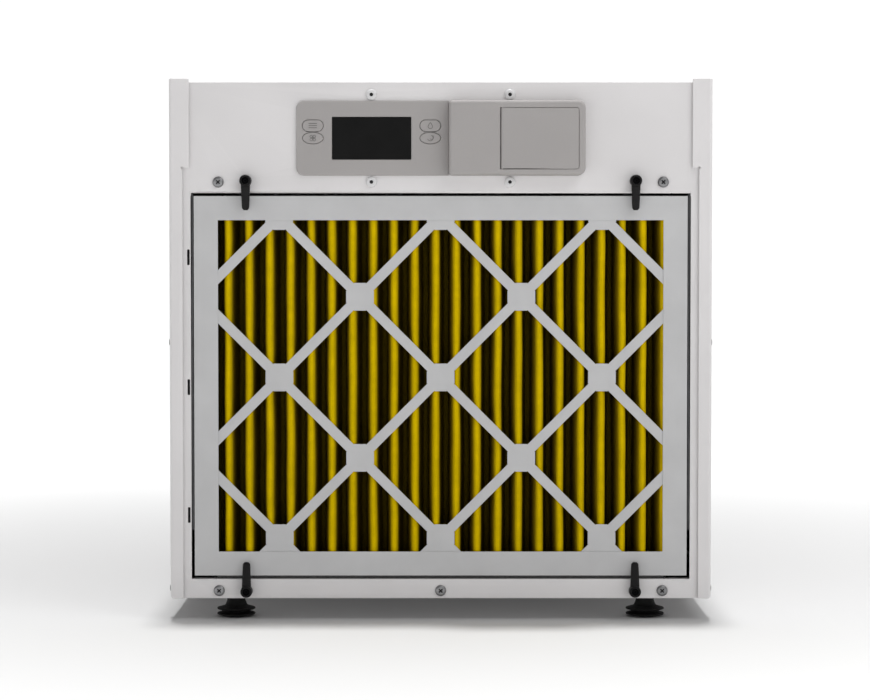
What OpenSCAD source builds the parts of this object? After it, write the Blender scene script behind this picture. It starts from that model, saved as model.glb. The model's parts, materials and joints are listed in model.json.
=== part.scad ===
// Ducted dehumidifier: a sheet steel cabinet with a pleated intake filter behind four turn
// levers, a front control panel, four levelling feet, and inside it a refrigeration circuit,
// a drain pan and a blower that discharges through a round collar at the back.
// X runs to the right seen from the front, +Y to the back, +Z up. The origin is at the
// centre of the floor contact.

/* [Cabinet] */
// Width over the side panels
body_w = 488; // [486:1:492]
// Height of the side panels, without the feet
body_h = 468; // [466:1:474]
// Depth from the front panel to the rear edge of the side panels
body_d = 700; // [695:1:740]
// Thickness of the cabinet sheet
sheet = 1.5; // [1.2:0.1:1.6]
// Outside bend radius of the sheet
bend_r = 3; // [2.5:0.5:4]

/* [Filter] */
// Outside width of the filter
filter_w = 444.4; // [443:0.1:445]
// Outside height of the filter
filter_h = 342.5; // [341:0.1:343]
// Thickness of the filter
filter_t = 44.5; // [40:0.5:46]
// Width of the card border round the media
border_w = 21.7; // [18:0.1:24]
// Distance between two pleats
pleat_pitch = 18.69; // [17:0.01:20]
// Half the distance between two crossings of the diamond grid
grid_step = 72.7; // [68:0.1:76]
// Width of a strip of the diamond grid
grid_strip = 9; // [6:0.5:12]

/* [Controls] */
// Width of the control panel
panel_w = 259; // [255:1:262]
// Height of the control panel
panel_h = 67.1; // [64:0.1:68]
// How far the terminal housing stands out of the cabinet
housing_proud = 15; // [13:0.5:20]
// Travel of a push button
button_travel = 1; // [0.5:0.1:1.1]

/* [Duct and feet] */
// Outside radius of the outlet collar
collar_r = 124; // [98:1:128]
// Length of the outlet collar behind the cabinet
collar_len = 50; // [40:1:60]
// Height of a levelling foot at its shortest
foot_h = 20; // [20:0.5:24]
// Radius of a levelling foot
foot_r = 17.5; // [16:0.5:20]

/* [Hidden] */
$fn = 48;

// Overall places
front_y = housing_proud - (housing_proud + body_d + collar_len) / 2;
rear_y = front_y + body_d;
base_z = foot_h;
side_top_z = base_z + body_h;
top_z = side_top_z - 3;
inner_x = body_w / 2 - sheet;
fascia_x = inner_x - 1.5;
flange_w = 12;
flange_proud = 3;
ear_w = 18;
ear_z = base_z + 388;
lip_h = 15;
lip_z = base_z + 7;

// Filter and its opening
filter_z = base_z + 20.5;
filter_front = 1;
filter_back = filter_front + filter_t;
open_x = filter_w / 2 + 2.6;
open_low = filter_z - 3;
open_high = filter_z + filter_h + 2.8;
card = 0.8;
grid_t = 0.6;
grid_mid_z = base_z + 199.7;
crossing = 25;
pleat_r = 2.8;
media_t = 1;
pleat_first = -191.4;
guide_low = base_z + 62;
seal_t = 8;

// Levers
lever_x = 175;
lever_high = base_z + 376.5;
lever_low = lip_z;
lever_len = 26.4;
lever_boss_r = 5.3;
lever_tip_r = 3.2;
pivot_r = 2.5;
run_gap = 0.05;

// Control panel
panel_z = base_z + 414.7;
panel_t = 2.5;
split_x = 7.2;
lcd_x = -62;
lcd_w = 71.2;
lcd_h = 38.3;
button_x = 52.7;
button_w = 18.5;
button_h = 10;
button_low = panel_z + 0.1;
button_high = panel_z + 11.2;
button_gap = 0.25;
panel_screw_x = 62.2;
panel_screw_z = 39.15;
door_x = 88.3;
door_z = panel_z - 0.65;
door_w = 71;
door_h = 55.3;
door_gap = 0.5;
door_t = 2.4;
door_r = 3;
housing_left_r = 3;
housing_right_r = 7;
hinge_x = 55.6;
hinge_d = -housing_proud + 2.1;
pin_r = 1;
knuckle_r = 2;
wall = 2.5;
front_wall = 4.6;
board_d = 9;

// Screws
screw_r = 2;
head_r = 5;
hole_r = 2.15;
front_screws = [[-200, lever_high - 1], [200, lever_high - 1], [-200, lip_z], [0, lip_z], [200, lip_z]];

// Feet
foot_x = 187;
foot_in = 30;
stud_r = 4;

// Blower and outlet, on one axis
duct_z = base_z + body_h / 2;
bulkhead_d = 470;
wheel_r = 120;
inlet_r = 78;
shaft_r = 6;
rod_at = 105;

// Refrigeration circuit
coil_x = 200;
coil_low = 52;
coil_rows = 10;
coil_pitch = 33;
coil_t = 45;
tube_r = 4.7;
row_in = 11;
evap_d = 80;
cond_d = 150;
first_tube = coil_low + 14.5;
tube_end = coil_x + 6;
line_x = 226;
comp_x = -60;
comp_d = 330;
comp_r = 58;
comp_low = 39;
comp_high = 250;
drier_x = 50;
liquid_d = 137.5;
liquid_z = 52;
thin_r = 3;
elbow_swell = 1.12;
pan_x = 212;
pan_low = 25;
pan_high = 47;
drain_x = 100;
drain_z = 38;
float_x = -100;
float_d = 205.5;

function y_at(d) = front_y + d;
function ellipse(w, h, n = 48) = [for (i = [0:n - 1]) [w / 2 * cos(360 * i / n), h / 2 * sin(360 * i / n)]];
function arc(cx, cy, r, a0, a1, n = 8) =
    [for (i = [0:n]) let (a = a0 + (a1 - a0) * i / n) [cx + r * cos(a), cy + r * sin(a)]];

// Box between two corners
module slab(low, high) translate(low) cube(high - low);

// Extrudes an X-Z outline between two distances behind the front face
module along_y(d0, d1)
    translate([0, y_at(d1), 0]) rotate([90, 0, 0]) linear_extrude(d1 - d0) children();

module rod_y(x, z, r, d0, d1)
    translate([x, y_at(d0), z]) rotate([-90, 0, 0]) cylinder(r = r, h = d1 - d0);

module hex_y(x, z, r, d0, d1)
    translate([x, y_at(d0), z]) rotate([-90, 0, 0]) cylinder(r = r, h = d1 - d0, $fn = 6);

module rounded_rect(w, h, r) {
    square([w - 2 * r, h], center = true);
    square([w, h - 2 * r], center = true);
    for (sx = [-1, 1], sy = [-1, 1])
        translate([sx * (w / 2 - r), sy * (h / 2 - r)]) circle(r = r);
}

module stadium(w, h) {
    square([w - h, h], center = true);
    for (sx = [-1, 1]) translate([sx * (w - h) / 2, 0]) circle(d = h);
}

// Rectangle whose two left corners are rounded
module left_rounded(x, y, w, l, r) {
    translate([x + r, y]) square([w - r, l]);
    translate([x, y + r]) square([w, l - 2 * r]);
    for (yy = [y + r, y + l - r]) translate([x + r, yy]) circle(r = r);
}

// Pipe with a brazed elbow at each bend, through points given as [x, distance behind the front, z]
module pipe(points, r) {
    for (i = [0:len(points) - 2]) {
        a = points[i];
        step = points[i + 1] - a;
        long = norm(step);
        translate([a[0], y_at(a[1]), a[2]])
            rotate([0, acos(step[2] / long), atan2(step[1], step[0])]) cylinder(r = r, h = long, $fn = 24);
    }
    for (i = [1:1:len(points) - 2])
        translate([points[i][0], y_at(points[i][1]), points[i][2]]) sphere(r = elbow_swell * r, $fn = 24);
}

// Pan head screw that enters along +Y; d is the surface that the head lies on
module pan_screw(x, z, d, long) {
    translate([x, y_at(d), z]) rotate([90, 0, 0]) difference() {
        union() {
            translate([0, 0, -long]) cylinder(r = screw_r, h = long);
            rotate_extrude() polygon([[0, 0], [head_r, 0], [head_r, 1.2], [head_r - 0.7, 2.2], [head_r - 2, 2.8], [0, 2.8]]);
        }
        translate([0, 0, 1.4]) cylinder(r = 1.7, h = 2, $fn = 6);
    }
}

/* ---------- cabinet ---------- */

module side_outline(w) {
    front = front_y - flange_proud;
    difference() {
        left_rounded(-body_w / 2, front, w, rear_y - front, bend_r);
        left_rounded(-inner_x, front + sheet, w, rear_y - front - 2 * sheet, bend_r - sheet);
    }
}

// The left panel: a sheet with a front and a rear flange, wider at the top, with a relief
// hole where the front flange widens
module side_panel() {
    low_cut = 4;
    relief_r = 1.2;
    difference() {
        union() {
            translate([0, 0, base_z]) linear_extrude(body_h) side_outline(flange_w);
            translate([0, 0, ear_z]) linear_extrude(side_top_z - ear_z) side_outline(ear_w);
        }
        for (d = [20, body_d - 20], z = [lip_z, base_z + 231])
            translate([-body_w / 2 - 1, y_at(d), z]) rotate([0, 90, 0]) cylinder(r = hole_r, h = 6);
        along_y(-flange_proud - 1, body_d + 1) {
            polygon([[-body_w / 2 - 1, base_z - 1], [-body_w / 2 + low_cut - 1, base_z - 1],
                     [-body_w / 2 - 1, base_z + low_cut - 1]]);
            translate([-body_w / 2 + flange_w, ear_z]) circle(r = relief_r);
        }
    }
}

module left_side_panel() { color([0.84, 0.83, 0.83]) side_panel(); }
module right_side_panel() { color([0.84, 0.83, 0.83]) mirror([1, 0, 0]) side_panel(); }

module top_panel() {
    d0 = sheet;
    d1 = body_d - 2 * sheet;
    color([0.84, 0.83, 0.83]) difference() {
        union() {
            slab([-inner_x, y_at(d0), top_z - sheet], [inner_x, y_at(d1), top_z]);
            for (s = [-1, 1])
                slab([s * inner_x - (s + 1) / 2 * sheet, y_at(d0 + 2), top_z - lip_h],
                     [s * inner_x + (1 - s) / 2 * sheet, y_at(d1), top_z]);
            slab([-fascia_x + 2, y_at(d1 - sheet), top_z - lip_h], [fascia_x - 2, y_at(d1), top_z]);
        }
        for (x = [-200, 0, 200]) rod_y(x, top_z - 9, hole_r, body_d - 10, body_d);
    }
}

module base_pan() {
    d0 = sheet;
    d1 = body_d - 2 * sheet;
    color([0.7, 0.7, 0.7]) difference() {
        slab([-inner_x, y_at(d0), base_z], [inner_x, y_at(d1), base_z + lip_h]);
        slab([-inner_x + sheet, y_at(d0 + sheet), base_z + sheet], [inner_x - sheet, y_at(d1 - sheet), base_z + 40]);
        for (x = [-1, 1], d = [foot_in, body_d - foot_in])
            translate([x * foot_x, y_at(d), base_z - 1]) cylinder(r = stud_r + 0.1, h = 5);
        for (s = [-1, 1], d = [20, body_d - 20])
            translate([s * (inner_x - 1) - 3, y_at(d), lip_z]) rotate([0, 90, 0]) cylinder(r = hole_r, h = 6);
        for (p = front_screws) rod_y(p[0], p[1], hole_r, 0, 6);
        for (x = [-lever_x, lever_x]) rod_y(x, lever_low, pivot_r + 0.1, 0, 6);
        for (x = [-200, 0, 200]) rod_y(x, lip_z, hole_r, body_d - 10, body_d);
        rod_y(drain_x, drain_z, 13, body_d - 10, body_d);
        for (sx = [-1, 1], sd = [-1, 1])
            translate([comp_x + sx * 58, y_at(comp_d + sd * 58), base_z - 1]) cylinder(r = 4.2, h = 5);
    }
}

module front_panel() {
    slot_h = 14;
    slot_w = 2.2;
    color([0.82, 0.81, 0.81]) difference() {
        union() {
            slab([-fascia_x, y_at(0), base_z], [fascia_x, y_at(sheet), top_z]);
            for (s = [-1, 1])
                slab([s * fascia_x - (s + 1) / 2 * sheet, y_at(0.5), base_z + lip_h + 2],
                     [s * fascia_x + (1 - s) / 2 * sheet, y_at(30), top_z - lip_h - 2]);
            for (z = [open_low - sheet, open_high])
                slab([-open_x, y_at(0), z], [open_x, y_at(14), z + sheet]);
        }
        slab([-open_x, y_at(-1), open_low], [open_x, y_at(20), open_high]);
        for (z = [308, 191, 75.4])
            slab([-227 - slot_w / 2, y_at(-1), base_z + z - slot_h / 2],
                 [-227 + slot_w / 2, y_at(sheet + 1), base_z + z + slot_h / 2]);
        for (p = front_screws) rod_y(p[0], p[1], hole_r, -1, 3);
        for (x = [-lever_x, lever_x], z = [lever_low, lever_high]) rod_y(x, z, pivot_r + 0.1, -1, 3);
        for (x = [-1, 1], z = [-1, 1])
            rod_y(x * panel_screw_x, panel_z + z * panel_screw_z, hole_r, -1, 3);
        slab([-125, y_at(-1), panel_z - 24], [3, y_at(3), panel_z + 24]);
        rod_y(100, panel_z + 20, 6, -1, 3);
        for (s = [-1, 1])
            translate([s * fascia_x - 3, y_at(20), base_z + 231]) rotate([0, 90, 0]) cylinder(r = hole_r, h = 6);
    }
}

module rear_panel() {
    d0 = body_d - 2 * sheet;
    d1 = body_d - sheet;
    color([0.84, 0.83, 0.83]) difference() {
        union() {
            slab([-fascia_x, y_at(d0), base_z], [fascia_x, y_at(d1), top_z]);
            for (s = [-1, 1])
                slab([s * fascia_x - (s + 1) / 2 * sheet, y_at(d0 - 30), base_z + lip_h + 2],
                     [s * fascia_x + (1 - s) / 2 * sheet, y_at(d1), top_z - lip_h - 2]);
        }
        rod_y(0, duct_z, collar_r - 1, d0 - 1, d1 + 1);
        for (x = [-200, 0, 200], z = [lip_z, top_z - 9]) rod_y(x, z, hole_r, d0 - 1, d1 + 1);
        for (a = [0:60:300])
            rod_y((collar_r + 9) * sin(a), duct_z + (collar_r + 9) * cos(a), hole_r, d0 - 1, d1 + 1);
        rod_y(drain_x, drain_z, 9.6, d0 - 1, d1 + 1);
        rod_y(-190, 75, 8.1, d0 - 1, d1 + 1);
        for (s = [-1, 1])
            translate([s * fascia_x - 3, y_at(body_d - 20), base_z + 231])
                rotate([0, 90, 0]) cylinder(r = hole_r, h = 6);
    }
}

module duct_collar() {
    d0 = body_d - sheet;
    color([0.75, 0.75, 0.76]) difference() {
        union() {
            rod_y(0, duct_z, collar_r + 17, d0, d0 + 1.2);
            rod_y(0, duct_z, collar_r, d0, body_d + collar_len);
        }
        rod_y(0, duct_z, collar_r - 1.2, d0 - 1, body_d + collar_len + 1);
        for (a = [0:60:300])
            rod_y((collar_r + 9) * sin(a), duct_z + (collar_r + 9) * cos(a), hole_r, d0 - 1, d0 + 3);
    }
}

module filter_guide() {
    side = open_x - 0.5;
    difference() {
        union() {
            slab([-side, y_at(0.8), guide_low], [-side + sheet, y_at(filter_back + seal_t + sheet), open_high - 1]);
            slab([-side, y_at(filter_back + seal_t + 0.1), guide_low],
                 [-side + 22, y_at(filter_back + seal_t + sheet + 0.1), open_high - 1]);
            slab([-fascia_x + sheet + 0.1, y_at(16), guide_low], [-side, y_at(16 + sheet), lever_high + 7]);
            slab([-side, y_at(16), open_high + sheet + 0.5], [-190, y_at(16 + sheet), lever_high + 7]);
        }
        rod_y(-200, lever_high - 1, hole_r, 10, 20);
    }
}

module filter_guides() { color([0.72, 0.72, 0.72]) { filter_guide(); mirror([1, 0, 0]) filter_guide(); } }

// Foam ring behind the filter and the strip that the filter stands on
module filter_seal() {
    half = filter_w / 2;
    color([0.1, 0.1, 0.1]) {
        difference() {
            slab([-half, y_at(filter_back), filter_z], [half, y_at(filter_back + seal_t), filter_z + filter_h]);
            slab([-half + 18, y_at(filter_back - 1), filter_z + 18],
                 [half - 18, y_at(filter_back + seal_t + 1), filter_z + filter_h - 18]);
        }
        slab([-half + 20, y_at(3), open_low], [half - 20, y_at(13.5), filter_z]);
    }
}

module cabinet_insulation() {
    side = inner_x - 8.5;
    color([0.2, 0.2, 0.21]) {
        for (s = [-1, 1])
            slab([s * (side + 3.5) - 3.4, y_at(60), 50], [s * (side + 3.5) + 3.4, y_at(465), 465]);
        slab([-232, y_at(60), top_z - 11], [232, y_at(465), top_z - sheet]);
    }
}

/* ---------- fasteners ---------- */

module front_panel_screws() {
    color([0.6, 0.6, 0.6]) for (p = front_screws) pan_screw(p[0], p[1], 0, p[1] > 100 ? 20 : 9);
}

module control_panel_screws() {
    color([0.9, 0.9, 0.9]) for (x = [-1, 1], z = [-1, 1])
        pan_screw(x * panel_screw_x, panel_z + z * panel_screw_z, 0, 13);
}

module side_panel_screws() {
    color([0.3, 0.3, 0.3]) for (s = [0, 1], d = [20, body_d - 20], z = [lip_z, base_z + 231])
        mirror([s, 0, 0]) translate([-body_w / 2, y_at(d), z]) rotate([0, -90, 0]) {
            translate([0, 0, -7]) cylinder(r = screw_r, h = 7);
            rotate_extrude() polygon([[0, 0], [4, 0], [4, 1], [3.4, 1.9], [2.2, 2.5], [0, 2.5]]);
        }
}

module rear_screw(x, z, surface) {
    translate([x, y_at(surface), z]) rotate([-90, 0, 0]) {
        translate([0, 0, -7]) cylinder(r = screw_r, h = 7);
        rotate_extrude() polygon([[0, 0], [4, 0], [4, 1], [3.4, 1.9], [2.2, 2.5], [0, 2.5]]);
    }
}

module rear_panel_screws() {
    color([0.5, 0.5, 0.5]) {
        for (x = [-200, 0, 200], z = [lip_z, top_z - 9]) rear_screw(x, z, body_d - sheet);
        for (a = [0:60:300])
            rear_screw((collar_r + 9) * sin(a), duct_z + (collar_r + 9) * cos(a), body_d - sheet + 1.2);
    }
}

/* ---------- feet ---------- */

// Rubber foot on its stud: two discs below a neck
module foot(sx, d) {
    color([0.06, 0.06, 0.06]) translate([sx * foot_x, y_at(d), 0]) difference() {
        rotate_extrude() polygon([
            [0, 0], [foot_r - 7.5, 0], [foot_r, 1.6], [foot_r, 3.4], [foot_r - 5, 4.6], [foot_r - 5, 5.4],
            [foot_r, 6.4], [foot_r, 8.2], [foot_r - 7, 10], [foot_r - 9, 14], [8, foot_h - 0.1], [0, foot_h - 0.1]
        ]);
        translate([0, 0, 3]) cylinder(r = stud_r + run_gap, h = foot_h);
    }
}

module front_left_foot() { foot(-1, foot_in); }
module front_right_foot() { foot(1, foot_in); }
module rear_left_foot() { foot(-1, body_d - foot_in); }
module rear_right_foot() { foot(1, body_d - foot_in); }

// Threaded studs with a nut above the base pan
module foot_studs() {
    color([0.6, 0.6, 0.62]) for (x = [-1, 1], d = [foot_in, body_d - foot_in])
        translate([x * foot_x, y_at(d), 0]) {
            translate([0, 0, 4]) cylinder(r = stud_r, h = base_z + 8);
            translate([0, 0, base_z + sheet]) cylinder(r = 7.5, h = 5, $fn = 6);
        }
}

/* ---------- filter ---------- */

module filter_frame() {
    half = filter_w / 2;
    tall = filter_h;
    color([0.73, 0.73, 0.73]) difference() {
        slab([-half, y_at(filter_front), filter_z], [half, y_at(filter_back), filter_z + tall]);
        slab([-half + 1, y_at(filter_front + card), filter_z + 1],
             [half - 1, y_at(filter_back - card), filter_z + tall - 1]);
        slab([-half + border_w, y_at(filter_front - 1), filter_z + border_w],
             [half - border_w, y_at(filter_front + 2), filter_z + tall - border_w]);
        slab([-half + 15, y_at(filter_back - 2), filter_z + 15],
             [half - 15, y_at(filter_back + 1), filter_z + tall - 15]);
    }
}

// Diamond grid of card strips with an eight-sided pad at each crossing
module grid_outline() {
    span = 900;
    for (k = [-4:4]) {
        translate([2 * k * grid_step, 0]) rotate(45) square([span, grid_strip], center = true);
        translate([2 * k * grid_step, 0]) rotate(-45) square([span, grid_strip], center = true);
    }
    for (i = [-4:4], j = [-3:3]) if ((i + j) % 2 == 0)
        translate([i * grid_step, j * grid_step]) intersection() {
            square(crossing, center = true);
            rotate(45) square(crossing, center = true);
        }
}

module filter_grid() {
    half = filter_w / 2 - 1.2;
    front = filter_front + card;
    color([0.74, 0.73, 0.75]) along_y(front, front + grid_t) intersection() {
        translate([0, grid_mid_z]) grid_outline();
        translate([-half, filter_z + 1.2]) square([2 * half, filter_h - 2.4]);
    }
}

// Pleated sheet: ridges to the front, valleys to the back, both round
function pleat_edge(grow) = [
    for (k = [-1:21]) let (x = pleat_first + k * pleat_pitch)
        each concat(
            arc(x, pleat_front, pleat_r + grow, 180, 360, 6),
            arc(x + pleat_pitch / 2, pleat_back, pleat_r - grow, 180, 0, 6)
        )
];
pleat_front = front_y + filter_front + card + grid_t + pleat_r + media_t / 2 + 0.3;
pleat_back = front_y + filter_back - card - pleat_r - media_t / 2 - 0.3;

module filter_media() {
    edge_front = pleat_edge(media_t / 2);
    edge_back = pleat_edge(-media_t / 2);
    count = len(edge_back);
    color([0.75, 0.65, 0.02]) translate([0, 0, filter_z + 1.4]) linear_extrude(filter_h - 2.8)
        polygon(concat(edge_front, [for (i = [count - 1:-1:0]) edge_back[i]]));
}

/* ---------- levers ---------- */

// Turn lever; up is 1 where the arm points up and -1 where it points down
module lever(x, z, up) {
    arm_end = lever_len - lever_tip_r;
    slope = asin((lever_boss_r - lever_tip_r) / arm_end);
    side = [cos(slope), sin(slope)];
    color([0.07, 0.07, 0.07]) difference() {
        union() {
            rod_y(x, z, lever_boss_r, -12, -0.4);
            along_y(-7, -2.5) translate([x, z]) scale([1, up]) {
                translate([0, arm_end]) circle(r = lever_tip_r);
                polygon([
                    lever_boss_r * side, [0, arm_end] + lever_tip_r * side,
                    [-lever_tip_r * side[0], arm_end + lever_tip_r * side[1]],
                    [-lever_boss_r * side[0], lever_boss_r * side[1]]
                ]);
            }
        }
        rod_y(x, z, pivot_r + run_gap, -13, 1);
        rod_y(x, z, 3.5, -13, -9);
    }
}

module top_left_lever() { lever(-lever_x, lever_high, -1); }
module top_right_lever() { lever(lever_x, lever_high, -1); }
module bottom_left_lever() { lever(-lever_x, lever_low, 1); }
module bottom_right_lever() { lever(lever_x, lever_low, 1); }

module lever_pivots() {
    color([0.4, 0.4, 0.4]) for (x = [-lever_x, lever_x], z = [lever_low, lever_high]) difference() {
        union() {
            rod_y(x, z, pivot_r, -10, 8);
            rod_y(x, z, 3.3, -11, -9.05);
            hex_y(x, z, 4.6, 3.1, 6.6);
        }
        hex_y(x, z, 1.4, -12, -9.5);
    }
}

/* ---------- controls ---------- */

module panel_outline() {
    w = split_x + panel_w / 2;
    translate([split_x - w, panel_z]) {
        translate([7, -panel_h / 2]) square([w - 7, panel_h]);
        translate([0, 7 - panel_h / 2]) square([7, panel_h - 14]);
        for (s = [-1, 1]) translate([7, s * (panel_h / 2 - 7)]) circle(r = 7);
    }
}

// Outline of a button, or of its hole where grow is the gap round it
module button_outline(upper, grow) {
    if (upper) stadium(button_w + 2 * grow, button_h + 2 * grow);
    else polygon(ellipse(button_w + 2 * grow, button_h + 2 * grow));
}

module control_panel() {
    color([0.62, 0.61, 0.6]) along_y(-panel_t, 0) difference() {
        panel_outline();
        translate([lcd_x, panel_z]) square([lcd_w, lcd_h], center = true);
        for (s = [-1, 1]) {
            translate([lcd_x + s * button_x, button_high]) button_outline(true, button_gap);
            translate([lcd_x + s * button_x, button_low]) button_outline(false, button_gap);
        }
    }
}

module display_lens() {
    color([0.1, 0.1, 0.1]) along_y(-1.9, -0.1)
        translate([lcd_x, panel_z]) square([lcd_w - 0.2, lcd_h - 0.2], center = true);
}

module push_button(s, upper) {
    color([0.6, 0.59, 0.58]) along_y(-panel_t - 0.8, panel_t)
        translate([lcd_x + s * button_x, upper ? button_high : button_low]) button_outline(upper, 0);
}

module power_button() { push_button(-1, true); }
module mode_button() { push_button(-1, false); }
module up_button() { push_button(1, true); }
module down_button() { push_button(1, false); }

module control_board() {
    color([0.1, 0.35, 0.2]) difference() {
        union() {
            slab([-124, y_at(board_d), panel_z - 46], [75, y_at(board_d + 1.6), panel_z + 46]);
            slab([lcd_x - 38, y_at(0.2), panel_z - 22], [lcd_x + 38, y_at(board_d), panel_z + 22]);
            for (s = [-1, 1], z = [button_low, button_high])
                slab([lcd_x + s * button_x - 3, y_at(panel_t + button_travel + 0.15), z - 3],
                     [lcd_x + s * button_x + 3, y_at(board_d), z + 3]);
            for (x = [-1, 1], z = [-1, 1])
                rod_y(x * panel_screw_x, panel_z + z * panel_screw_z, 4, sheet + 0.1, board_d);
        }
        for (x = [-1, 1], z = [-1, 1])
            rod_y(x * panel_screw_x, panel_z + z * panel_screw_z, hole_r, -1, board_d + 3);
    }
}

// Block whose left and right corners have different radii, as an outline
module housing_outline(shrink) {
    low = -panel_h / 2 + shrink;
    left = split_x + shrink;
    right = panel_w / 2 - shrink;
    square_r = max(housing_left_r - shrink, 0.5);
    round_r = housing_right_r - shrink;
    translate([0, panel_z]) {
        left_rounded(left, low, right - left - round_r, -2 * low, square_r);
        mirror([1, 0]) left_rounded(-right, low, right - left - square_r, -2 * low, round_r);
    }
}

// Raised moulding over the wiring terminals, with a recessed opening for its door
module terminal_housing() {
    d0 = -housing_proud;
    channel = hinge_x - knuckle_r - 0.7;
    color([0.62, 0.61, 0.6]) difference() {
        along_y(d0, 0) housing_outline(0);
        along_y(d0 + front_wall, 1) housing_outline(wall);
        along_y(d0 - 1, d0 + 2.7) translate([door_x, door_z]) rounded_rect(door_w, door_h, door_r);
        along_y(d0 - 1, d0 + front_wall + 1) translate([door_x, door_z]) square([66, 50], center = true);
        slab([channel, y_at(d0 - 1), door_z - door_h / 2], [60, y_at(d0 + front_wall + 1), door_z + door_h / 2]);
        translate([hinge_x, y_at(hinge_d), door_z - door_h / 2 - 2.2])
            cylinder(r = pin_r + 0.02, h = door_h + 4.4);
    }
}

module access_door() {
    w = door_w - 2 * door_gap;
    h = door_h - 2 * door_gap;
    d0 = -housing_proud + 0.1;
    color([0.62, 0.61, 0.6]) difference() {
        union() {
            along_y(d0, d0 + door_t) intersection() {
                translate([door_x, door_z]) rounded_rect(w, h, door_r - door_gap);
                translate([hinge_x, door_z - h]) square([w, 2 * h]);
            }
            translate([hinge_x, y_at(hinge_d), door_z - h / 2]) cylinder(r = knuckle_r, h = h);
        }
        translate([hinge_x, y_at(hinge_d), door_z - h]) cylinder(r = pin_r + run_gap, h = 2 * h);
    }
}

module door_hinge_pin() {
    color([0.7, 0.7, 0.72]) translate([hinge_x, y_at(hinge_d), door_z - door_h / 2 - 2])
        cylinder(r = pin_r, h = door_h + 4);
}

module terminal_block() {
    color([0.15, 0.3, 0.2]) difference() {
        slab([66, y_at(-8), panel_z - 17], [112, y_at(0), panel_z + 3]);
        for (i = [0:5]) {
            rod_y(71 + 7.2 * i, panel_z - 1, 2, -9, -5);
            slab([69 + 7.2 * i, y_at(-6), panel_z - 18], [73 + 7.2 * i, y_at(-2), panel_z - 10]);
        }
    }
}

/* ---------- blower ---------- */

module fan_bulkhead() {
    d = bulkhead_d;
    color([0.7, 0.7, 0.7]) difference() {
        union() {
            slab([-inner_x + 1.7, y_at(d), base_z + sheet + 0.1], [inner_x - 1.7, y_at(d + sheet), top_z - sheet - 0.1]);
            rod_y(0, duct_z, inlet_r + 2, d, d + 14);
        }
        rod_y(0, duct_z, inlet_r, d - 1, d + 15);
        rod_y(drain_x, drain_z, 10, d - 1, d + 3);
        for (sx = [-1, 1], sz = [-1, 1]) rod_y(sx * rod_at, duct_z + sz * rod_at, 4.1, d - 1, d + 3);
    }
}

// Four spacer rods and a cross that carries the motor
module motor_bracket() {
    d = bulkhead_d;
    color([0.65, 0.65, 0.66]) difference() {
        union() {
            for (sx = [-1, 1], sz = [-1, 1]) {
                rod_y(sx * rod_at, duct_z + sz * rod_at, 6, d + sheet + 0.1, d + 150);
                rod_y(sx * rod_at, duct_z + sz * rod_at, 4, d - 6, d + 3);
            }
            along_y(d + 150, d + 153) translate([0, duct_z]) {
                for (a = [45, -45]) rotate(a) square([2 * rod_at * sqrt(2) + 12, 16], center = true);
                circle(r = 40);
            }
        }
        rod_y(0, duct_z, 8, d + 140, d + 160);
    }
}

module fan_motor() {
    d = bulkhead_d;
    color([0.2, 0.2, 0.21]) {
        rod_y(0, duct_z, 46, d + 92, d + 150);
        rod_y(0, duct_z, 18, d + 86, d + 92);
        rod_y(0, duct_z, shaft_r, d + 60, d + 90);
    }
}

module fan_impeller() {
    d = bulkhead_d;
    color([0.15, 0.15, 0.16]) difference() {
        union() {
            rod_y(0, duct_z, wheel_r, d + 80, d + 83);
            rod_y(0, duct_z, 20, d + 62, d + 83);
            difference() {
                rod_y(0, duct_z, wheel_r, d + 18, d + 20);
                rod_y(0, duct_z, inlet_r + 6, d + 17, d + 21);
            }
            along_y(d + 19, d + 81) translate([0, duct_z]) for (a = [0:45:315]) rotate(a)
                intersection() {
                    translate([60, 50]) difference() {
                        circle(r = 71);
                        circle(r = 69);
                    }
                    difference() {
                        circle(r = wheel_r - 1);
                        circle(r = inlet_r + 8);
                    }
                    translate([0, -wheel_r]) square([2 * wheel_r, wheel_r + 10]);
                }
        }
        rod_y(0, duct_z, shaft_r + run_gap, d + 50, d + 90);
    }
}

/* ---------- refrigeration circuit ---------- */

module fins(d) {
    count = 24;
    color([0.75, 0.76, 0.78]) for (i = [0:count - 1])
        translate([-coil_x + i * (2 * coil_x - 0.6) / (count - 1), 0, 0]) difference() {
            slab([0, y_at(d), coil_low], [0.6, y_at(d + coil_t), coil_low + coil_rows * coil_pitch]);
            for (k = [0:coil_rows - 1], row = [row_in, coil_t - row_in])
                translate([-1, y_at(d + row), first_tube + k * coil_pitch])
                    rotate([0, 90, 0]) cylinder(r = tube_r + 0.1, h = 3, $fn = 24);
        }
}

// Half ring of tube at the right-hand end, from one tube to the next above it
module return_bend(d, z, r)
    translate([tube_end, y_at(d), z]) rotate([90, 0, 0])
        rotate([0, 0, -90]) rotate_extrude(angle = 180, $fn = 32) translate([r, 0]) circle(r = tube_r, $fn = 24);

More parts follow.
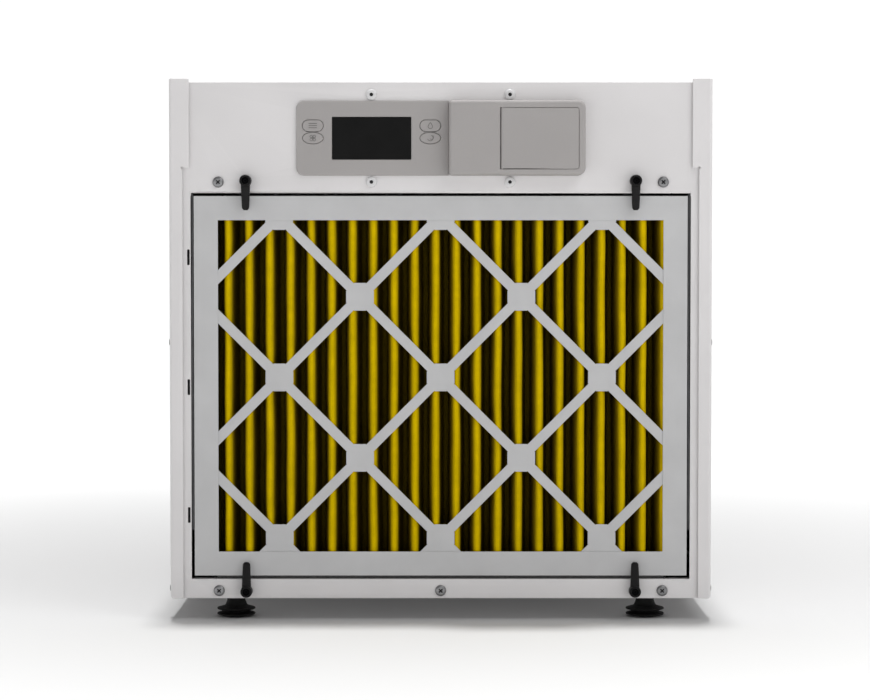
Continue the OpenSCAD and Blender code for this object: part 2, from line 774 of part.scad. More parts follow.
// Two rows of tubes joined end to end, with both free ends at the bottom right
module coil_tubes(d) {
    color([0.72, 0.45, 0.3]) {
        for (k = [0:coil_rows - 1], row = [row_in, coil_t - row_in])
            translate([-tube_end, y_at(d + row), first_tube + k * coil_pitch])
                rotate([0, 90, 0]) cylinder(r = tube_r, h = 2 * tube_end + (k == 0 ? 6 : 0), $fn = 24);
        for (row = [row_in, coil_t - row_in]) {
            for (k = [1:2:coil_rows - 3]) return_bend(d + row, first_tube + (k + 0.5) * coil_pitch, coil_pitch / 2);
            for (k = [0:2:coil_rows - 2]) mirror([1, 0, 0])
                return_bend(d + row, first_tube + (k + 0.5) * coil_pitch, coil_pitch / 2);
        }
        translate([tube_end, y_at(d + coil_t / 2), first_tube + (coil_rows - 1) * coil_pitch])
            rotate([0, 0, -90]) rotate_extrude(angle = 180, $fn = 32)
                translate([coil_t / 2 - row_in, 0]) circle(r = tube_r, $fn = 24);
    }
}

module evaporator_fins() { fins(evap_d); }
module evaporator_tubes() { coil_tubes(evap_d); }
module condenser_fins() { fins(cond_d); }
module condenser_tubes() { mirror([1, 0, 0]) coil_tubes(cond_d); }

module compressor() {
    color([0.08, 0.08, 0.09]) translate([comp_x, y_at(comp_d), 0]) {
        difference() {
            translate([-70, -70, 36]) cube([140, 140, 3]);
            for (sx = [-1, 1], sy = [-1, 1]) translate([sx * 58, sy * 58, 30]) cylinder(r = 4.3, h = 20);
        }
        rotate_extrude() polygon(concat(
            [[0, comp_low - 0.5], [comp_r - 8, comp_low - 0.5]],
            arc(comp_r - 8, comp_low + 8, 8, -90, 0, 6),
            arc(comp_r - 20, comp_high - 20, 20, 0, 90, 8),
            [[0, comp_high]]
        ));
        translate([0, 0, comp_high - 2]) cylinder(r = tube_r + 1.5, h = 10);
    }
}

module at_grommets() {
    for (sx = [-1, 1], sd = [-1, 1])
        translate([comp_x + sx * 58, y_at(comp_d + sd * 58), 0]) children();
}

module compressor_grommets() {
    color([0.05, 0.05, 0.05]) at_grommets() difference() {
        translate([0, 0, base_z + sheet]) cylinder(r = 11, h = 36 - base_z - sheet);
        cylinder(r = 4.1, h = 60);
    }
}

module compressor_studs() {
    color([0.7, 0.7, 0.72]) at_grommets() {
        translate([0, 0, base_z]) cylinder(r = 4, h = 28);
        translate([0, 0, 39.1]) cylinder(r = 7.5, h = 6, $fn = 6);
    }
}

module accumulator() {
    color([0.08, 0.08, 0.09]) translate([60, y_at(comp_d), 0]) rotate_extrude() polygon(concat(
        [[0, 70]], arc(16, 82, 12, -90, 0, 6), arc(16, 188, 12, 0, 90, 6), [[0, 200]]
    ));
}

module refrigerant_lines() {
    free_end = tube_end + 6.1;
    color([0.72, 0.45, 0.3]) {
        // Suction: evaporator to accumulator
        pipe([[free_end, evap_d + coil_t - row_in, first_tube], [line_x, evap_d + coil_t - row_in, first_tube],
              [line_x, 235, first_tube], [line_x, 235, 230], [60, 235, 230], [60, comp_d, 230],
              [60, comp_d, 200.1]], tube_r);
        // Accumulator to compressor
        pipe([[60, comp_d, 69.9], [60, comp_d, 58], [comp_x + comp_r + 0.2, comp_d, 58]], tube_r);
        // Discharge: compressor to condenser
        pipe([[comp_x, comp_d, comp_high + 8.1], [comp_x, comp_d, comp_high + 24], [comp_x, 225, comp_high + 24],
              [-line_x, 225, comp_high + 24], [-line_x, 225, first_tube],
              [-line_x, cond_d + coil_t - row_in, first_tube],
              [-free_end, cond_d + coil_t - row_in, first_tube]], tube_r);
        // Liquid: condenser to drier, then drier to evaporator
        pipe([[-free_end, cond_d + row_in, first_tube], [-line_x, cond_d + row_in, first_tube],
              [-line_x, liquid_d, first_tube], [-line_x, liquid_d, liquid_z], [-drier_x - 0.1, liquid_d, liquid_z]],
             thin_r);
        pipe([[drier_x + 0.1, liquid_d, liquid_z], [line_x - 4, liquid_d, liquid_z],
              [line_x - 4, evap_d + row_in, liquid_z], [line_x - 4, evap_d + row_in, first_tube],
              [free_end, evap_d + row_in, first_tube]], thin_r);
    }
}

module filter_drier() {
    color([0.72, 0.45, 0.3]) translate([0, y_at(liquid_d), liquid_z]) rotate([0, 90, 0]) rotate_extrude()
        polygon([[0, -drier_x], [thin_r + 1.5, -drier_x], [9, -drier_x + 12], [9, drier_x - 12],
                 [thin_r + 1.5, drier_x], [0, drier_x]]);
}

/* ---------- drain ---------- */

module drain_pan() {
    d0 = evap_d - 8;
    d1 = 216.5;
    color([0.3, 0.3, 0.31]) difference() {
        slab([-pan_x, y_at(d0), pan_low], [pan_x, y_at(d1), pan_high]);
        slab([-pan_x + sheet, y_at(d0 + sheet), pan_low + 2], [pan_x - sheet, y_at(d1 - sheet), pan_high + 1]);
        rod_y(drain_x, drain_z, 7.5, d1 - 3, d1 + 1);
    }
}

module drain_tube() {
    color([0.8, 0.8, 0.82]) difference() {
        rod_y(drain_x, drain_z, 9, 216.6, body_d - 12);
        rod_y(drain_x, drain_z, 7.5, 216, body_d - 11);
    }
}

// Outlet spigot with a flange outside the rear panel and a nut inside it
module drain_fitting() {
    color([0.85, 0.85, 0.85]) difference() {
        union() {
            rod_y(drain_x, drain_z, 9.5, body_d - 11.9, body_d + 32);
            rod_y(drain_x, drain_z, 13, body_d - sheet, body_d + 2);
            hex_y(drain_x, drain_z, 12.5, body_d - 8.5, body_d - 2 * sheet);
        }
        rod_y(drain_x, drain_z, 7.5, body_d - 13, body_d + 33);
    }
}

module drain_float() {
    color([0.9, 0.9, 0.88]) translate([float_x, y_at(float_d), 31]) difference() {
        cylinder(r = 7.5, h = 12);
        translate([0, 0, -1]) cylinder(r = 2 + run_gap, h = 14);
    }
}

module float_switch() {
    color([0.85, 0.85, 0.82]) {
        translate([float_x, y_at(float_d), pan_low + 2]) cylinder(r = 2, h = 34);
        translate([float_x, y_at(float_d), pan_low + 2]) cylinder(r = 5, h = 3);
        translate([float_x, y_at(float_d), 57]) cylinder(r = 5, h = 5);
        slab([float_x - 6, y_at(float_d), 58], [float_x + 6, y_at(218), 61]);
        slab([float_x - 6, y_at(216.6), pan_high - 10], [float_x + 6, y_at(218), 61]);
    }
}

/* ---------- electrics ---------- */

module electrical_box() {
    color([0.7, 0.7, 0.7]) difference() {
        slab([130, y_at(270), 300], [232, y_at(420), 440]);
        slab([129, y_at(271.2), 301.2], [230.8, y_at(418.8), 438.8]);
    }
}

module run_capacitor() {
    color([0.7, 0.7, 0.72]) translate([180, y_at(330), 301.3]) {
        cylinder(r = 25, h = 95);
        for (x = [-9, 9]) translate([x - 0.4, -3, 94]) cube([0.8, 6, 10]);
    }
}

// Strain relief for the mains lead, through the rear panel
module cord_gland() {
    color([0.08, 0.08, 0.08]) difference() {
        union() {
            rod_y(-190, 75, 8, body_d - 12, body_d + 4);
            hex_y(-190, 75, 12, body_d - sheet, body_d + 4);
            hex_y(-190, 75, 12, body_d - 8, body_d - 2 * sheet);
            rod_y(-190, 75, 9.5, body_d + 3.9, body_d + 14);
        }
        rod_y(-190, 75, 4.5, body_d - 13, body_d + 15);
    }
}

base_pan();
left_side_panel();
right_side_panel();
top_panel();
front_panel();
rear_panel();
duct_collar();
filter_guides();
filter_seal();
cabinet_insulation();
front_panel_screws();
control_panel_screws();
side_panel_screws();
rear_panel_screws();
front_left_foot();
front_right_foot();
rear_left_foot();
rear_right_foot();
foot_studs();
filter_frame();
filter_grid();
filter_media();
top_left_lever();
top_right_lever();
bottom_left_lever();
bottom_right_lever();
lever_pivots();
control_panel();
terminal_housing();
access_door();
door_hinge_pin();
display_lens();
control_board();
power_button();
mode_button();
up_button();
down_button();
terminal_block();
compressor();
compressor_grommets();
compressor_studs();
accumulator();
evaporator_fins();
evaporator_tubes();
condenser_fins();
condenser_tubes();
drain_pan();
drain_tube();
drain_fitting();
drain_float();
float_switch();
fan_bulkhead();
motor_bracket();
fan_motor();
fan_impeller();
electrical_box();
run_capacitor();
refrigerant_lines();
filter_drier();
cord_gland();
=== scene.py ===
import json
import math

import bmesh
import bpy
from mathutils import Matrix, Vector, geometry, noise
from mathutils.bvhtree import BVHTree


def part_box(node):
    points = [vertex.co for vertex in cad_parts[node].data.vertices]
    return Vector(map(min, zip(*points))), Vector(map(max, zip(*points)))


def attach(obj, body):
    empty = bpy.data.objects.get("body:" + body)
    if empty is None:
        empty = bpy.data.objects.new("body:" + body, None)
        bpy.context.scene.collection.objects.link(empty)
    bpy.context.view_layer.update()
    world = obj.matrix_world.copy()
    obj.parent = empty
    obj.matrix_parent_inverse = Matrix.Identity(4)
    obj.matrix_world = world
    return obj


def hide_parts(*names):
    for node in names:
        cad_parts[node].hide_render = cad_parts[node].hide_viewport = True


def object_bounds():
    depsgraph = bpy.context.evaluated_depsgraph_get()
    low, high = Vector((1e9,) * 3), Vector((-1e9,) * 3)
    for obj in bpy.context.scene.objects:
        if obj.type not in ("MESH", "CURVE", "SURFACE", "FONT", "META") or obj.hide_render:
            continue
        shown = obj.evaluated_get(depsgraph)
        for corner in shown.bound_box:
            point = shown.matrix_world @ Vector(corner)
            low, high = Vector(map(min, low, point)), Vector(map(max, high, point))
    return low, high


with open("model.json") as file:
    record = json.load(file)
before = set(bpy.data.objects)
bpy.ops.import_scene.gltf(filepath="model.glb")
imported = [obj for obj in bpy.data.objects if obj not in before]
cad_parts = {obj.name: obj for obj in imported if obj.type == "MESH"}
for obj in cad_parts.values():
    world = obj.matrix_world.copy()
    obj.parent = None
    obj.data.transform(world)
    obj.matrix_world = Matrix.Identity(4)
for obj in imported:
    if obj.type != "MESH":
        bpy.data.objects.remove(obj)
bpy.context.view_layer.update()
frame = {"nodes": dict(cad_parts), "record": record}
scene = bpy.context.scene

MM = 0.001
WELD = 0.002 * MM       # corners of the CAD mesh closer than this are one corner
FLAT = 0.002 * MM       # a corner within this of a plane lies in it
TOUCH = 0.01 * MM       # the same, in the tests that pick edges for a broad fillet
SLOT_OF = {s["node"]: s["material_slot"] for s in frame["record"]["subparts"]}
BODY_OF = {n: b for b, members in frame["record"]["behaviour"]["bodies"].items() for n in members}

# Places that the pieces below share, all taken from the CAD boxes
front_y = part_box("front_panel")[0].y
media_low, media_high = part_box("filter_media")


# ---------------------------------------------------------------- materials

class Nodes:
    """A short way to wire a material's nodes. Scales count features per metre of the object."""

    def __init__(self, name):
        self.material = bpy.data.materials.new(name)
        self.material.use_nodes = True
        self.tree = self.material.node_tree
        self.shader = self.tree.nodes["Principled BSDF"]
        self.coords = self.add("ShaderNodeTexCoord").outputs["Object"]

    def add(self, kind, **values):
        node = self.tree.nodes.new(kind)
        for key, value in values.items():
            if hasattr(node, key):
                setattr(node, key, value)
            else:
                node.inputs[key.replace("_", " ")].default_value = value
        return node

    def link(self, output, target):
        self.tree.links.new(output, target)

    def stretched(self, scale):
        mapping = self.add("ShaderNodeMapping")
        mapping.inputs["Scale"].default_value = scale
        self.link(self.coords, mapping.inputs["Vector"])
        return mapping.outputs["Vector"]

    def noise(self, scale, detail=4.0, roughness=0.55, stretch=None):
        node = self.add("ShaderNodeTexNoise", Scale=scale, Detail=detail, Roughness=roughness)
        self.link(self.stretched(stretch) if stretch else self.coords, node.inputs["Vector"])
        return node.outputs["Fac"]

    def cells(self, scale, feature="F1"):
        node = self.add("ShaderNodeTexVoronoi", feature=feature, Scale=scale)
        self.link(self.coords, node.inputs["Vector"])
        return node

    def ramp(self, value, low, high, start=0.0, end=1.0):
        node = self.add("ShaderNodeMapRange")
        limits = {"From Min": start, "From Max": end, "To Min": low, "To Max": high}
        for key, number in limits.items():
            node.inputs[key].default_value = number
        self.link(value, node.inputs["Value"])
        return node.outputs["Result"]

    def mix(self, value, first, second):
        node = self.add("ShaderNodeMix", data_type="RGBA")
        self.link(value, node.inputs["Factor"])
        for socket, colour in ((node.inputs[6], first), (node.inputs[7], second)):
            if isinstance(colour, (tuple, list)):
                socket.default_value = (*colour, 1.0)
            else:
                self.link(colour, socket)
        return node.outputs[2]

    def bumps(self, *layers):
        """Layers of (height, strength, depth in metres), the first one lowest."""
        normal = None
        for height, strength, depth in layers:
            node = self.add("ShaderNodeBump", Strength=strength, Distance=depth)
            self.link(height, node.inputs["Height"])
            if normal is not None:
                self.link(normal, node.inputs["Normal"])
            normal = node.outputs["Normal"]
        self.link(normal, self.shader.inputs["Normal"])

    def finish(self, **inputs):
        for key, value in inputs.items():
            socket = self.shader.inputs[key.replace("_", " ")]
            if isinstance(value, bpy.types.NodeSocket):
                self.link(value, socket)
            elif isinstance(value, (tuple, list)):
                socket.default_value = (*value, 1.0)
            else:
                socket.default_value = value
        return self.material


def shade(colour, factor):
    """The colour made darker or lighter by a factor."""
    return tuple(min(1.0, c * factor) for c in colour)


def powder_coat(name, colour, rough=0.42):
    """Sprayed and baked coat: an orange-peel skin, lighter on its sharp edges."""
    n = Nodes(name)
    broad = n.noise(7, 3)
    speck = n.noise(420, 5, 0.7)
    tint = n.mix(n.ramp(broad, 0, 1, 0.35, 0.65), shade(colour, 0.965), shade(colour, 1.03))
    tint = n.mix(n.ramp(speck, 0, 0.35, 0.6, 0.85), tint, shade(colour, 0.9))
    # Lighter along sharp convex edges, found by pointiness
    edge_sharpness = n.add("ShaderNodeNewGeometry").outputs["Pointiness"]
    edge = n.ramp(edge_sharpness, 0, 0.5, 0.52, 0.62)
    tint = n.mix(edge, tint, shade(colour, 1.12))
    n.bumps((n.noise(900, 2), 0.10, 0.00012), (n.noise(2600, 3), 0.10, 0.00006))
    dull = n.ramp(n.noise(60, 4), rough - 0.05, rough + 0.07, 0.3, 0.7)
    return n.finish(Base_Color=tint, Roughness=dull)


def moulded_plastic(name, colour, rough=0.5, grain=0.25, grain_scale=2200, gloss=0.5):
    """Spark-eroded plastic skin with faint flow marks."""
    n = Nodes(name)
    flow = n.noise(14, 3, 0.5)
    speck = n.noise(1300, 3, 0.6)
    tint = n.mix(n.ramp(flow, 0, 1, 0.35, 0.65), shade(colour, 0.98), shade(colour, 1.02))
    tint = n.mix(n.ramp(speck, 0, 0.5, 0.4, 0.7), tint, shade(colour, 0.93))
    grains = n.cells(grain_scale, "SMOOTH_F1").outputs["Distance"]
    n.bumps((grains, grain, 0.00005), (n.noise(300, 3), 0.03, 0.0002))
    dull = n.ramp(n.noise(900, 3), rough - 0.05, rough + 0.06, 0.3, 0.7)
    return n.finish(Base_Color=tint, Roughness=dull, Specular_IOR_Level=gloss)


def galvanised(name, colour):
    """Zinc-coated sheet with its spangle and rolling lines."""
    n = Nodes(name)
    spangle = n.cells(95)
    split = n.add("ShaderNodeSeparateColor")
    n.link(spangle.outputs["Color"], split.inputs["Color"])
    tint = n.mix(split.outputs["Red"], shade(colour, 0.82), shade(colour, 1.12))
    lines = n.noise(60, 3, 0.5, (1, 30, 1))
    n.bumps((lines, 0.06, 0.0001), (n.noise(800, 3), 0.06, 0.00008))
    return n.finish(
        Base_Color=tint, Metallic=0.85, Roughness=n.ramp(split.outputs["Green"], 0.3, 0.52)
    )


def bare_metal(name, colour, rough=0.32, brushed=(1, 1, 12)):
    """Machined or drawn metal with fine lines and slightly dull patches."""
    n = Nodes(name)
    patches = n.noise(90, 4)
    tint = n.mix(n.ramp(patches, 0, 1, 0.35, 0.7), shade(colour, 0.82), shade(colour, 1.06))
    lines = n.noise(260, 3, 0.6, brushed)
    n.bumps((lines, 0.12, 0.00006))
    dull = n.ramp(lines, rough - 0.08, rough + 0.12, 0.3, 0.7)
    return n.finish(Base_Color=tint, Metallic=1.0, Roughness=dull)


def black_rubber(name, colour):
    """Moulded rubber, greyed a little by dust towards the ground."""
    n = Nodes(name)
    split = n.add("ShaderNodeSeparateXYZ")
    n.link(n.coords, split.inputs["Vector"])
    low = n.ramp(split.outputs["Z"], 0.7, 0.0, 0.0, 0.012)
    dust = n.add("ShaderNodeMath", operation="MULTIPLY")
    n.link(low, dust.inputs[0])
    n.link(n.ramp(n.noise(120, 5), 0, 1, 0.42, 0.7), dust.inputs[1])
    tint = n.mix(dust.outputs[0], colour, (0.012, 0.0115, 0.011))
    n.bumps((n.noise(700, 4), 0.2, 0.0001))
    dull = n.ramp(n.noise(150, 3), 0.5, 0.72, 0.3, 0.7)
    return n.finish(Base_Color=tint, Roughness=dull, Specular_IOR_Level=0.2)


def foam(name, colour):
    """Open-celled foam, dark in its pores."""
    n = Nodes(name)
    pores = n.cells(650).outputs["Distance"]
    tint = n.mix(n.ramp(pores, 0, 1, 0.0, 0.6), shade(colour, 0.5), shade(colour, 1.5))
    n.bumps((pores, 0.6, 0.0006))
    return n.finish(Base_Color=tint, Roughness=0.95)


def coated_card(name, colour):
    """Beverage board: short random fibres under a thin clay coat."""
    n = Nodes(name)
    fibres = n.noise(500, 6, 0.7, (1, 1, 5))
    cross = n.noise(500, 6, 0.7, (5, 1, 1))
    clouds = n.noise(22, 4)
    tint = n.mix(n.ramp(clouds, 0, 1, 0.35, 0.65), shade(colour, 0.96), shade(colour, 1.03))
    tint = n.mix(n.ramp(fibres, 0, 0.3, 0.55, 0.8), tint, shade(colour, 0.86))
    n.bumps((fibres, 0.12, 0.00012), (cross, 0.10, 0.00012))
    return n.finish(Base_Color=tint, Roughness=n.ramp(fibres, 0.62, 0.8, 0.3, 0.7))


def filter_fibre(name, crest, valley_shade):
    """Tackified yellow fibre: bright on the ridges, with painted shade that darkens it with depth
    where the pleats close up behind them.
    """
    n = Nodes(name)
    split = n.add("ShaderNodeSeparateXYZ")
    n.link(n.coords, split.inputs["Vector"])
    # Painted shade: the colour darkens from the ridges towards the back of the pleats, by depth
    # along Y
    depth = n.ramp(split.outputs["Y"], 0, 1, media_low.y + 0.4 * MM, media_low.y + 27 * MM)
    curve = n.add("ShaderNodeMath", operation="POWER")
    n.link(depth, curve.inputs[0])
    curve.inputs[1].default_value = 0.35
    strands = n.noise(900, 6, 0.75, (1, 1, 0.12))
    clumps = n.noise(70, 4)
    lit = n.mix(n.ramp(clumps, 0, 1, 0.35, 0.65), shade(crest, 0.9), shade(crest, 1.08))
    lit = n.mix(n.ramp(strands, 0, 0.5, 0.5, 0.8), lit, shade(crest, 0.7))
    tint = n.mix(curve.outputs[0], lit, valley_shade)
    n.bumps((strands, 0.35, 0.0003), (n.noise(2200, 4), 0.3, 0.0002))
    return n.finish(Base_Color=tint, Roughness=0.9, Specular_IOR_Level=0.05)


def display_glass(name):
    """Unlit black window with a dull, slightly hazy gloss."""
    n = Nodes(name)
    haze = n.noise(40, 3)
    tint = n.mix(n.ramp(haze, 0, 1, 0.35, 0.65), (0.0045,) * 3, (0.0065,) * 3)
    n.bumps((n.noise(30, 2), 0.02, 0.0002))
    return n.finish(
        Base_Color=tint, Roughness=n.ramp(n.noise(500, 3), 0.3, 0.4), Specular_IOR_Level=0.1
    )


def circuit_board(name):
    """Green board with a grid of tracks under its lacquer."""
    n = Nodes(name)
    tracks = n.add("ShaderNodeTexBrick", Scale=90.0, Mortar_Size=0.03)
    n.link(n.coords, tracks.inputs["Vector"])
    tracks.inputs["Color1"].default_value = (0.01, 0.10, 0.04, 1)
    tracks.inputs["Color2"].default_value = (0.012, 0.13, 0.05, 1)
    tracks.inputs["Mortar"].default_value = (0.03, 0.2, 0.07, 1)
    n.bumps((tracks.outputs["Fac"], 0.3, 0.0001))
    return n.finish(Base_Color=tracks.outputs["Color"], Roughness=n.ramp(n.noise(80, 3), 0.3, 0.45))


MATERIALS = {
    "cabinet_paint": powder_coat("cabinet_powder_coat", (0.725, 0.708, 0.711)),
    "galvanised": galvanised("galvanised_sheet", (0.62, 0.63, 0.64)),
    "seal_foam": foam("black_seal_foam", (0.045, 0.045, 0.045)),
    "insulation": foam("insulation_foam", (0.035, 0.035, 0.037)),
    "screw_steel": bare_metal("zinc_plated_steel", (0.30, 0.30, 0.305), 0.36),
    "screw_white": powder_coat("white_screw_enamel", (0.66, 0.655, 0.66), 0.35),
    "screw_dark": bare_metal("dark_plated_steel", (0.035, 0.034, 0.035), 0.45),
    "foot_rubber": black_rubber("foot_rubber", (0.005, 0.005, 0.005)),
    "filter_card": coated_card("filter_board", (0.54, 0.54, 0.545)),
    # The second colour of the filter fibre is the painted shade deep in the pleats
    "filter_media": filter_fibre("filter_fibre", (0.64, 0.445, 0.0), (0.12, 0.083, 0.002)),
    "lever_black": moulded_plastic("lever_nylon", (0.006, 0.0056, 0.006), 0.5, 0.3, 1800, 0.2),
    "panel_grey": moulded_plastic("panel_plastic", (0.37, 0.352, 0.346), 0.55),
    "button_grey": moulded_plastic("button_silicone", (0.36, 0.342, 0.336), 0.62),
    "display": display_glass("display_window"),
    "circuit_board": circuit_board("circuit_board"),
    "black_shell": powder_coat("black_enamel", (0.012, 0.012, 0.013), 0.3),
    "fin_aluminium": bare_metal("fin_aluminium", (0.72, 0.73, 0.74), 0.3, (1, 1, 20)),
    "copper": bare_metal("drawn_copper", (0.72, 0.34, 0.2), 0.3, (12, 1, 1)),
    "pan_plastic": moulded_plastic("dark_plastic", (0.03, 0.03, 0.032), 0.5),
    "pale_plastic": moulded_plastic("pale_plastic", (0.62, 0.61, 0.58), 0.45),
}
# Nodes that differ in finish from the rest of their slot: the filter guides are painted dark as the
# shade in the gap beside the filter, the lever pivots are black oxide
MATERIAL_OF = {
    # Painted shade: the guides' dark colour stands in for the shade in the gap round the filter
    "filter_guides": bare_metal("guide_steel_painted_shade", (0.10, 0.10, 0.103), 0.55),
    "lever_pivots": bare_metal("black_oxide_steel", (0.006, 0.006, 0.0065), 0.5),
}
ICON_INK = moulded_plastic("icon_print", (0.16, 0.155, 0.15), 0.6)


# ---------------------------------------------------------------- mesh tools

AREA_LEEWAY = 0.01      # share by which fresh tiles may differ from the area that they fill
SPIKE = 1.3             # a fillet's corners stay within this many widths of the old surface


def smooth(obj, angle=32):
    """Shades round surfaces smooth and keeps flat ones flat."""
    for polygon in obj.data.polygons:
        polygon.use_smooth = True
    obj.data.set_sharp_from_angle(angle=math.radians(angle))
    weigh = obj.modifiers.new("flat_faces", "WEIGHTED_NORMAL")
    weigh.mode = "FACE_AREA_WITH_ANGLE"
    weigh.weight = 90
    weigh.keep_sharp = True


def flat_planes(bm, fewest=6):
    """Planes that hold at least the given number of joined triangles, as (normal, offset)."""
    seen, planes = set(), []
    for face in bm.faces:
        if face in seen:
            continue
        normal, offset = face.normal.copy(), face.normal.dot(face.verts[0].co)
        region, stack = {face}, [face]
        while stack:
            for edge in stack.pop().edges:
                for other in edge.link_faces:
                    if other not in region and normal.dot(other.normal) > 0.99999:
                        region.add(other)
                        stack.append(other)
        seen |= region
        if len(region) >= fewest:
            planes.append((normal, offset))
    return planes


def flat_regions(bm, normal, offset):
    """Sets of joined faces that lie in a plane, in the order of the mesh."""
    def lies(face):
        return all(abs(normal.dot(v.co) - offset) < FLAT for v in face.verts)

    seen, regions = set(), []
    for seed in bm.faces:
        if seed in seen or not lies(seed):
            continue
        region = [seed]
        seen.add(seed)
        for face in region:         # grows while it is read
            for edge in face.edges:
                for other in edge.link_faces:
                    if other not in seen and lies(other):
                        seen.add(other)
                        region.append(other)
        regions.append(region)
    return regions


def boundary_loops(region):
    """Closed chains of vertices round a set of faces, or nothing where two chains touch."""
    inside, ends = set(region), {}
    for face in region:
        for edge in face.edges:
            if sum(other in inside for other in edge.link_faces) == 1:
                for vert in edge.verts:
                    ends.setdefault(vert, []).append(edge)
    if any(len(edges) != 2 for edges in ends.values()):
        return []
    loops, left = [], dict.fromkeys(ends)
    while left:
        start = next(iter(left))
        loop, vert, edge = [], start, ends[start][0]
        while vert not in loop[:1]:
            loop.append(vert)
            left.pop(vert, None)
            vert = edge.other_vert(vert)
            edge = next(e for e in ends[vert] if e is not edge)
        loops.append(loop)
    return loops


def facing_area(corners, normal):
    """Twice the area of a flat polygon, below nothing where it faces against the normal."""
    first = corners[0]
    return sum(
        normal.dot((a - first).cross(b - first)) for a, b in zip(corners[1:], corners[2:])
    )


def retile(bm, planes):
    """Fills every flat region afresh from its outline and holes, so that no triangle folds over.
    Where two planes meet in a sliver of no area, both copies of it go. A region whose tiles
    would not cover the same area stays as it is."""
    for normal, offset in planes:
        for region in flat_regions(bm, normal, offset):
            loops = boundary_loops(region) if len(region) > 3 else []
            if not loops:
                continue
            verts = [v for loop in loops for v in loop]
            tiles = [
                [verts[i] for i in tile]
                for tile in geometry.tessellate_polygon([[v.co for v in loop] for loop in loops])
            ]
            old = abs(sum(facing_area([v.co for v in f.verts], normal) for f in region))
            tiled = [facing_area([v.co for v in tile], normal) for tile in tiles]
            if abs(sum(abs(area) for area in tiled) - old) > AREA_LEEWAY * old:
                continue
            turn = sum(tiled)
            bmesh.ops.delete(bm, geom=region, context="FACES_ONLY")
            for tile in tiles:
                twin = bm.faces.get(tile)
                if twin:
                    bm.faces.remove(twin)
                else:
                    bm.faces.new(tile if turn > 0 else tile[::-1])
    bmesh.ops.delete(bm, geom=[e for e in bm.edges if not e.link_faces], context="EDGES")
    bmesh.ops.delete(bm, geom=[v for v in bm.verts if not v.link_edges], context="VERTS")


def pull_in_spikes(bm, surface, reach):
    """Folds every vertex that a fillet has thrown off the old surface back onto a neighbour."""
    stray = {v for v in bm.verts if surface.find_nearest(v.co)[3] > reach}
    while stray:
        places = {}
        for vert in stray:
            sound = [v for v in (e.other_vert(vert) for e in vert.link_edges) if v not in stray]
            if sound:
                places[vert] = min(sound, key=lambda v: (v.co - vert.co).length).co.copy()
        if not places:
            break
        for vert, place in places.items():
            vert.co = place
        stray -= places.keys()
    bmesh.ops.remove_doubles(bm, verts=bm.verts, dist=1e-7)


def fillet_edges(bm, width, segments=2, angle=32, where=None):
    """Rounds every edge sharper than angle, or those of them whose ends both pass where.
    The flat faces between them are filled afresh."""
    planes = flat_planes(bm)
    surface = BVHTree.FromBMesh(bm)
    sharp = [
        e for e in bm.edges
        if len(e.link_faces) == 2 and e.calc_face_angle(0.0) > math.radians(angle)
        and (where is None or all(where(v.co) for v in e.verts))
    ]
    if width > 0 and sharp:
        bmesh.ops.bevel(
            bm, geom=sharp, offset=width, offset_type="OFFSET", segments=segments, profile=0.5,
            affect="EDGES", clamp_overlap=False, miter_outer="ARC", miter_inner="SHARP",
        )
        pull_in_spikes(bm, surface, SPIKE * width)
    many_sided = [f for f in bm.faces if len(f.verts) > 4]
    bmesh.ops.triangulate(bm, faces=many_sided, ngon_method="BEAUTY")
    # The bevel's own order differs from run to run, so the mesh is put in order along a skew line
    along = Vector((1.0, math.sqrt(3), math.sqrt(5)))
    bm.verts.sort(key=lambda v: along.dot(v.co))
    bm.faces.sort(key=lambda f: along.dot(f.calc_center_median()))
    retile(bm, planes)


def add_piece(name, bm, node=None, slot=None, body=None, material=None):
    """Makes an object of bm. With node, it stands for that CAD node and rides where it does."""
    mesh = bpy.data.meshes.new(name)
    bmesh.ops.recalc_face_normals(bm, faces=bm.faces)
    bm.to_mesh(mesh)
    bm.free()
    obj = bpy.data.objects.new(name, mesh)
    scene.collection.objects.link(obj)
    slot = slot or SLOT_OF[node]
    mesh.materials.append(material or MATERIAL_OF.get(node) or MATERIALS[slot])
    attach(obj, body or BODY_OF[node])
    if node:
        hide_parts(node)
    return obj


def refine(node, width=0.4, segments=2, broad=None, where=None, swell=None):
    """A copy of a CAD node with clean flat faces and filleted edges; widths are in millimetres.
    Edges whose ends pass where get the broad fillet first. Swell gives each vertex its step."""
    bm = bmesh.new()
    bm.from_mesh(frame["nodes"][node].data)
    bmesh.ops.remove_doubles(bm, verts=bm.verts, dist=WELD)
    if swell:
        for vert in bm.verts:
            vert.co += swell(vert.co)
    if broad:
        fillet_edges(bm, broad * MM, 6, where=where)
    fillet_edges(bm, width * MM, segments)
    obj = add_piece(node + "_finished", bm, node)
    smooth(obj)
    return obj


def lathe(bm, profile, origin, axis, steps=64):
    """Turns a closed profile of (radius, height) round an axis. Heights run along the axis."""
    axis = Vector(axis).normalized()
    side = axis.orthogonal().normalized()
    other = axis.cross(side)
    rings = []
    for radius, height in profile:
        centre = Vector(origin) + axis * height
        if radius < 1e-7:
            rings.append([bm.verts.new(centre)])
            continue
        rings.append([
            bm.verts.new(centre + radius * (side * math.cos(a) + other * math.sin(a)))
            for a in (math.tau * i / steps for i in range(steps))
        ])
    for low, high in zip(rings, rings[1:]):
        for i in range(steps):
            j = (i + 1) % steps
            if len(low) == 1 and len(high) == 1:
                break
            if len(low) == 1:
                bm.faces.new((low[0], high[i], high[j]))
            elif len(high) == 1:
                bm.faces.new((low[i], high[0], low[j]))
            else:
                bm.faces.new((low[i], high[i], high[j], low[j]))
    return rings


def arc(centre, radius, start, end, steps=6):
    """Points of an arc, with angles in degrees."""
    return [
        (centre[0] + radius * math.cos(math.radians(start + (end - start) * i / steps)),
         centre[1] + radius * math.sin(math.radians(start + (end - start) * i / steps)))
        for i in range(steps + 1)
    ]


# ---------------------------------------------------------------- cabinet

